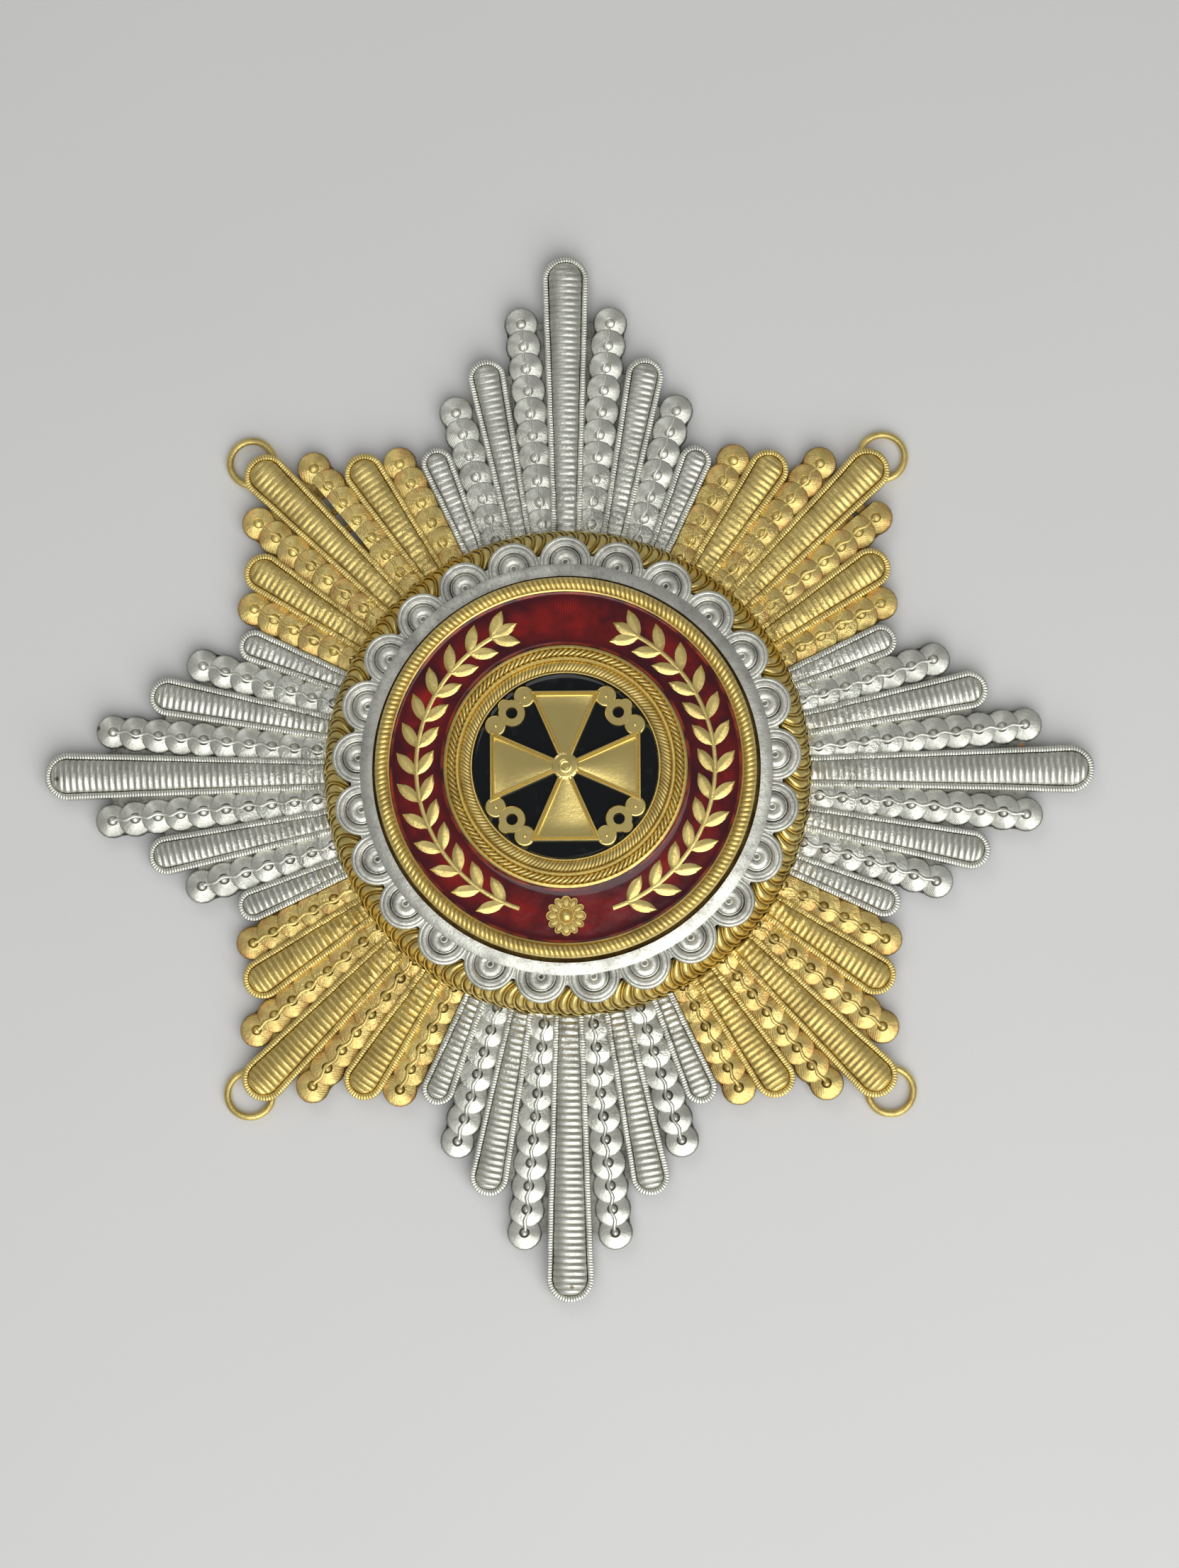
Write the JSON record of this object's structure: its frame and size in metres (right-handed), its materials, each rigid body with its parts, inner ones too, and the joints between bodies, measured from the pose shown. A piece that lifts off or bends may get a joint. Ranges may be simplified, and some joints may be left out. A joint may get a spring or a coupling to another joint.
{
  "type": "breast star",
  "caption": "Breast star with silver arms and gold fans of ribbed rays and sequin strands round an enamelled medallion with a cross, with sewing loops behind the tips.",
  "frame": {"origin": "centre of the plain back, on the surface that the star lies on", "axes": "+Z out of the star's face, +Y towards the arm opposite the rosette, which is the top arm when worn"},
  "size_m": [0.102, 0.102, 0.0089],
  "materials": {
    "gilt_back": "plain gilt back, softly worn",
    "silver_rays": "cast silver, bright ribs, darkened hollows, gilt at the edges",
    "gilt_rays": "cast gilt silver, bright ribs, dull hollows",
    "gilt_rope": "polished gilt coil",
    "gilt_bezel": "polished gilt with an oblique cord",
    "silver_ring": "cast silver, bright arcs, darkened hollows",
    "red_enamel": "glossy translucent red enamel over engraved metal",
    "gilt_garland": "satin gilt with bright edges",
    "gilt_rosette": "polished gilt",
    "gilt_inner_ring": "polished gilt double rope",
    "black_enamel": "glossy opaque black enamel",
    "gilt_cross": "satin gilt panels with bright rims"
  },
  "bodies": {
    "root": {"back_disc": "gilt_back", "silver_arm_top": "silver_rays", "silver_arm_right": "silver_rays", "silver_arm_bottom": "silver_rays", "silver_arm_left": "silver_rays", "gold_fan_top_right": "gilt_rays", "gold_fan_bottom_right": "gilt_rays", "gold_fan_bottom_left": "gilt_rays", "gold_fan_top_left": "gilt_rays", "rope_ring": "gilt_rope", "medallion_body": "gilt_bezel", "scalloped_ring": "silver_ring", "enamel_ring": "red_enamel", "garland": "gilt_garland", "rosette": "gilt_rosette", "inner_ring": "gilt_inner_ring", "centre_disc": "black_enamel", "cross": "gilt_cross"}
  },
  "joints": []
}
